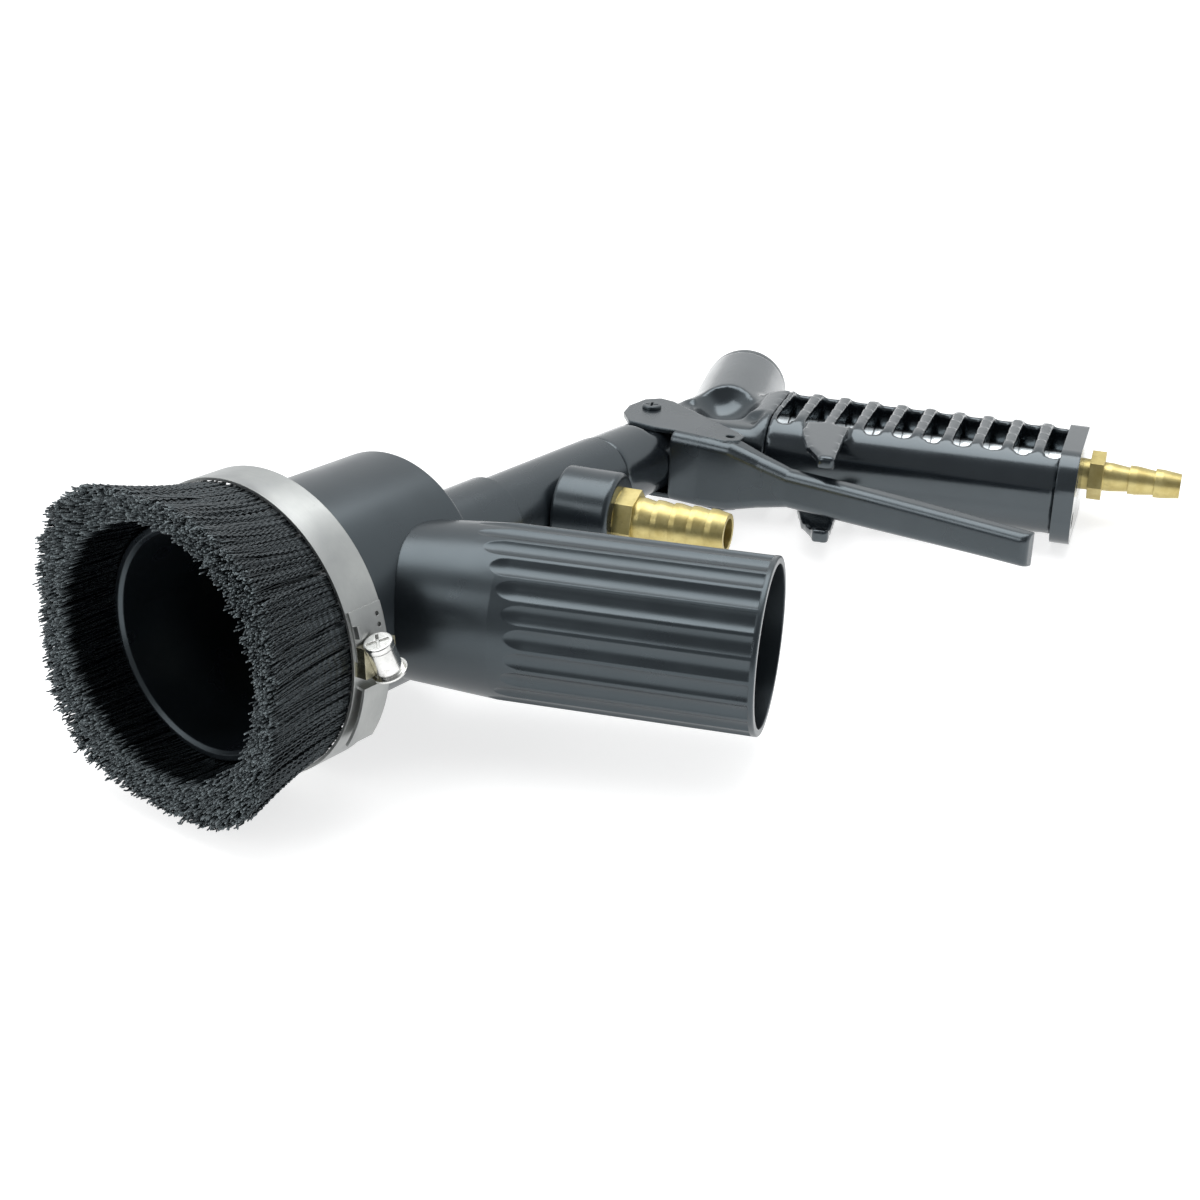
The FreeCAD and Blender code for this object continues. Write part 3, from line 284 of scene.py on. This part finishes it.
NODE_FINISH = {
    "suction_head": "suction_head", "suction_port": "suction_head",
    "nozzle_tube": "tube_enamel", "nozzle_cap": "tube_enamel",
    "mixing_body": "tube_enamel", "gun_body": "gun_enamel", "valve_cap": "black_fastener",
    "grip": "grip_enamel", "end_flange": "grip_enamel", "trigger_lever": "lever_enamel",
    "lever_pivot_screw": "black_fastener", "lever_pivot_nut": "black_fastener",
    "flange_screws": "black_fastener", "core_tube": "core_tube_sheen", "head_nut": "barrel_brass",
    "air_jet": "barrel_brass", "valve_seat": "barrel_brass", "stem_gland": "valve_steel",
    "valve_stem": "valve_steel", "valve_spring": "valve_steel", "clamp_screw": "bright_screw",
    "clamp_housing": "bright_screw", "clamp_saddle": "clamp_olive",
    "clamp_band": "band", "brush_backing": "rubber", "blast_nozzle": "ceramic",
    "grit_hose_barb": "grit_brass", "air_hose_barb": "air_brass",
}


def dress(piece, finish):
    piece.data.materials.clear()
    piece.data.materials.append(FINISHES[finish])


for node, finish in NODE_FINISH.items():
    dress(frame["nodes"][node], finish)


# ---------------------------------------------------------------- castings
EASE, HOLD = 0.5, 0.06


def neighbour_mean(values, a, b, degree):
    """Each vertex's neighbours' mean, for edges that join vertices a to b."""
    total = np.empty_like(values)
    for axis in range(3):
        forth = np.bincount(a, values[b, axis], len(values))
        total[:, axis] = forth + np.bincount(b, values[a, axis], len(values))
    return total / degree[:, None]


def vertex_normals(points, quads):
    """Each vertex's outward direction, weighted by the faces round it."""
    across = np.cross(points[quads[:, 2]] - points[quads[:, 0]],
                      points[quads[:, 3]] - points[quads[:, 1]])
    total = np.empty_like(points)
    for axis in range(3):
        total[:, axis] = sum(np.bincount(quads[:, k], across[:, axis], len(points)) for k in range(4))
    return total / np.maximum(np.linalg.norm(total, axis=1, keepdims=True), 1e-12)


def cast_copy(name, nodes, voxel, fill_steps, ease_steps, finish):
    """Stands for CAD nodes: the same solid as one casting, its hollows filleted and its edges eased.

    Every step pulls each vertex towards its neighbours' mean by EASE.  The fill steps do so only
    where the pull is outwards, in a hollow, and elsewhere by HOLD, which keeps the outer shape.
    """
    copy = frame["nodes"][nodes[0]].data.copy()
    piece = bpy.data.objects.new(name, copy)
    bpy.context.scene.collection.objects.link(piece)
    remesh = piece.modifiers.new("remesh", "REMESH")
    remesh.mode, remesh.voxel_size = "VOXEL", voxel
    graph = bpy.context.evaluated_depsgraph_get()
    mesh = bpy.data.meshes.new_from_object(piece.evaluated_get(graph))
    piece.modifiers.clear()
    piece.data = mesh
    mesh.name = name
    points = np.empty(len(mesh.vertices) * 3)
    mesh.vertices.foreach_get("co", points)
    points = points.reshape(-1, 3)
    quads = np.array([p.vertices[:] if len(p.vertices) == 4 else [*p.vertices[:], p.vertices[2]]
                      for p in mesh.polygons])
    ends = np.empty(len(mesh.edges) * 2, int)
    mesh.edges.foreach_get("vertices", ends)
    a, b = ends.reshape(-1, 2).T
    degree = np.maximum(np.bincount(a, minlength=len(points)) + np.bincount(b, minlength=len(points)), 1)
    for step in range(ease_steps + fill_steps):
        pull = neighbour_mean(points, a, b, degree) - points
        if step < ease_steps:
            points = points + EASE * pull
        else:
            outward = np.einsum("ij,ij->i", pull, vertex_normals(points, quads))
            points = points + np.where(outward > 0, EASE, HOLD)[:, None] * pull
    mesh.vertices.foreach_set("co", points.ravel())
    mesh.update()
    mesh.shade_smooth()
    dress(piece, finish)
    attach(piece, "gun")
    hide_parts(*nodes)


cast_copy("gun_body_casting", ["gun_body"], 0.0006, 60, 2, "gun_enamel")
cast_copy("grip_casting", ["grip"], 0.00075, 5, 2, "grip_enamel")


# ---------------------------------------------------------------- bristles
BRISTLE_ROOT_T, BRISTLE_TIP_T = 14.0, -17.0
CLAMPED_RADIUS, CUP_RADIUS, RING_DROP = 38.9, 31.8, -1.2
BRISTLE_RADIUS, BRISTLE_SIDES = 0.24, 3
ROOT_INSET, ROOT_CLEARANCE = 0.3, 0.9
SPLAY_POWER, DRIFT_POWER = 1.35, 1.5
CRIMP_PITCH = 2.3
CRIMP_MEAN_RADIUS = 40
TUFTS = 72


def tip_outer(angle):
    """The brush's outer radius at its tips: splayed upwards and a little square."""
    return 43.3 + 2.2 * np.cos(4 * (angle - math.radians(132))) + 2.6 * np.cos(angle - math.radians(75))


def tip_inner(angle):
    """The radius of the hollow at the tips."""
    return 33.8 + 4.6 * np.cos(angle - math.radians(60))


def tubes(name, paths, radius, sides, strand):
    """One mesh of many thin tubes: paths is strands x points x 3 in the gun's frame, in mm."""
    count, points, _ = paths.shape
    along = np.gradient(paths, axis=1)
    along /= np.linalg.norm(along, axis=2, keepdims=True)
    side = np.cross(along, np.array([0.31, 0.83, 0.47]))
    side /= np.linalg.norm(side, axis=2, keepdims=True)
    other = np.cross(along, side)
    turn = 2 * np.pi * np.arange(sides) / sides
    ring = (side[:, :, None] * np.cos(turn)[None, None, :, None]
            + other[:, :, None] * np.sin(turn)[None, None, :, None]) * radius[:, None, None, None]
    corners = (paths[:, :, None] + ring).reshape(-1, 3) * MM
    world = corners @ np.array(GUN_TURN).T + np.array(GUN.translation)
    base = (np.arange(count)[:, None, None] * points + np.arange(points - 1)[None, :, None]) * sides
    here = base + np.arange(sides)[None, None, :]
    after = base + (np.arange(sides)[None, None, :] + 1) % sides
    quads = np.stack([here, after, after + sides, here + sides], axis=-1).reshape(-1, 4)
    ends = (np.arange(count)[:, None] * points + points - 1) * sides + np.arange(sides)[None, :]
    starts = (np.arange(count)[:, None] * points) * sides + np.arange(sides)[None, ::-1]
    mesh = bpy.data.meshes.new(name)
    mesh.from_pydata(world.tolist(), [], quads.tolist() + ends.tolist() + starts.tolist())
    mesh.attributes.new("strand", "FLOAT", "POINT").data.foreach_set(
        "value", np.repeat(strand, points * sides).astype(np.float32))
    place = np.tile(np.repeat(np.linspace(0, 1, points), sides), count)
    mesh.attributes.new("along", "FLOAT", "POINT").data.foreach_set("value", place.astype(np.float32))
    mesh.shade_smooth()
    piece = bpy.data.objects.new(name, mesh)
    bpy.context.scene.collection.objects.link(piece)
    return piece


def bristle_paths(rng, angle, depth, points, crimp, splay):
    """Strands at angles round the cup; depth 0 is the outer face of the brush and 1 the inner."""
    count = len(angle)
    s = np.linspace(0, 1, points)[None, :]
    length = rng.normal(1.0, 0.022, count)[:, None]
    t = BRISTLE_ROOT_T + (BRISTLE_TIP_T - BRISTLE_ROOT_T) * s * length
    root = CLAMPED_RADIUS - ROOT_INSET - depth * (CLAMPED_RADIUS - CUP_RADIUS - ROOT_CLEARANCE)
    tip = tip_outer(angle) * (1 - depth) + tip_inner(angle) * depth
    tip = tip + rng.normal(0, 0.35 + splay, count)
    bend = s ** SPLAY_POWER
    radius = root[:, None] + (tip - root)[:, None] * bend
    drift = rng.normal(0, 0.018 + splay * 0.05, count)[:, None] * s ** DRIFT_POWER
    phase = rng.uniform(0, 0.9, count)[:, None] + np.floor(angle * 9)[:, None] * 1.7
    wave = crimp * np.sin(2 * np.pi * (t / CRIMP_PITCH) + phase) * np.clip(s * 6, 0, 1)
    turn = angle[:, None] + drift + 0.6 * wave / CRIMP_MEAN_RADIUS
    radius = radius + wave
    y = RING_DROP - np.cos(turn) * radius
    z = np.sin(turn) * radius
    return np.stack([t, y, z], axis=-1)


def clumped(rng, count):
    """Angles round the ring that gather into tufts, as bundled bristle does."""
    angle = rng.uniform(0, 2 * np.pi, count)
    pull = 0.8 * np.sin(angle * TUFTS) / TUFTS
    return angle + pull


def strands(name, rng, angle, depth, points, crimp, splay):
    """One piece of bristles; each strand has its own share of the paler colour."""
    paths = bristle_paths(rng, angle, depth, points, crimp, splay)
    pale = rng.uniform(0.1, 1, len(angle)) ** 2
    return tubes(name, paths, np.full(len(angle), BRISTLE_RADIUS), BRISTLE_SIDES, pale)


def build_brush():
    rng = np.random.default_rng(7)
    # The tip colour here is partly the cut ends' paleness and partly a painted glint on the tips.
    material = nylon("bristle_nylon", (0.006, 0.0075, 0.009), (0.20, 0.235, 0.245), (0.22, 0.32))
    pieces = []
    for name in ("bristles_outer", "bristles_outer_2"):
        angle = clumped(rng, 700)
        depth = rng.uniform(0, 0.10, len(angle))
        pieces.append(strands(name, rng, angle, depth, 43, 0.24, 0.15))
    for name in ("bristles_inner", "bristles_inner_2"):
        angle = clumped(rng, 3600)
        depth = 0.06 + 0.94 * rng.uniform(0, 1, len(angle)) ** 0.9
        pieces.append(strands(name, rng, angle, depth, 9, 0.12, 0.25))
    for piece in pieces:
        piece.data.materials.append(material)
        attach(piece, "gun")
    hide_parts("brush_bristles")


build_brush()


# ---------------------------------------------------------------- studio
CAMERA_AT = Vector((-308.0, -346.9, 211.8)) * MM
CAMERA_RIGHT = Vector((0.599, -0.800, 0.035))
CAMERA_DOWN = Vector((-0.298, -0.264, -0.917))
TENT_STRENGTH, OPENING_STRENGTH = 0.95, 0.26


def studio_camera():
    """The camera, placed and turned in the gun's frame."""
    right = (GUN_TURN @ CAMERA_RIGHT).normalized()
    down = GUN_TURN @ CAMERA_DOWN
    down = (down - right * down.dot(right)).normalized()
    turn = Matrix((right, -down, right.cross(-down))).transposed().to_4x4()
    data = bpy.data.cameras.new("camera")
    data.lens, data.sensor_width, data.clip_start = 60, 36, 0.01
    camera = bpy.data.objects.new("camera", data)
    camera.matrix_world = Matrix.Translation(GUN @ CAMERA_AT) @ turn
    bpy.context.scene.collection.objects.link(camera)
    bpy.context.scene.camera = camera


def soft_light(name, at, look, size, watts):
    data = bpy.data.lights.new(name, "AREA")
    data.shape, data.size, data.size_y = "RECTANGLE", size[0], size[1]
    data.energy = watts
    light = bpy.data.objects.new(name, data)
    light.location = at
    light.rotation_euler = (Vector(look) - Vector(at)).to_track_quat("-Z", "Y").to_euler()
    bpy.context.scene.collection.objects.link(light)


def light_tent():
    """A white tent with a darker opening on the side that the camera stands on."""
    world = bpy.data.worlds.new("tent")
    world.use_nodes = True
    nodes, links = world.node_tree.nodes, world.node_tree.links
    towards = nodes.new("ShaderNodeVectorMath")
    towards.operation = "DOT_PRODUCT"
    towards.inputs[1].default_value = (GUN @ CAMERA_AT).normalized()
    opening = nodes.new("ShaderNodeMapRange")
    opening.interpolation_type = "SMOOTHERSTEP"
    for key, number in (("From Min", 0.35), ("From Max", 0.9), ("To Min", TENT_STRENGTH),
                        ("To Max", OPENING_STRENGTH)):
        opening.inputs[key].default_value = number
    links.new(nodes.new("ShaderNodeTexCoord").outputs["Generated"], towards.inputs[0])
    links.new(towards.outputs["Value"], opening.inputs["Value"])
    links.new(opening.outputs["Result"], nodes["Background"].inputs["Strength"])
    nodes["Background"].inputs["Color"].default_value = (0.97, 0.99, 1.0, 1)
    return world


def studio():
    """The camera, a pale floor that glows a little, two soft lights and the tent."""
    studio_camera()
    mesh = bpy.data.meshes.new("floor")
    reach = 4.0
    corners = [(-reach, -reach, 0), (reach, -reach, 0), (reach, reach, 0), (-reach, reach, 0)]
    mesh.from_pydata(corners, [], [(0, 1, 2, 3)])
    floor = bpy.data.objects.new("floor", mesh)
    bpy.context.scene.collection.objects.link(floor)
    paper = Nodes("floor_paper")
    tone = paper.mix(paper.noise(0.3), (0.56, 0.56, 0.56), (0.59, 0.59, 0.59))
    paper.set(Emission_Color=(1, 1, 1, 1), Emission_Strength=0.72)
    mesh.materials.append(paper.finish(tone, paper.span(paper.noise(0.05), 0.7, 0.8),
                                       paper.bump(paper.noise(0.002), 0.00002)))
    soft_light("overhead", (0.10, 0.15, 0.75), (0.0, 0.0, 0.0), (0.9, 0.55), 4.5)
    soft_light("left", (-0.75, 0.25, 0.40), (-0.05, 0.0, 0.04), (0.35, 0.5), 1.5)
    bpy.context.scene.world = light_tent()
    bpy.context.scene.view_settings.view_transform = "Standard"


studio()
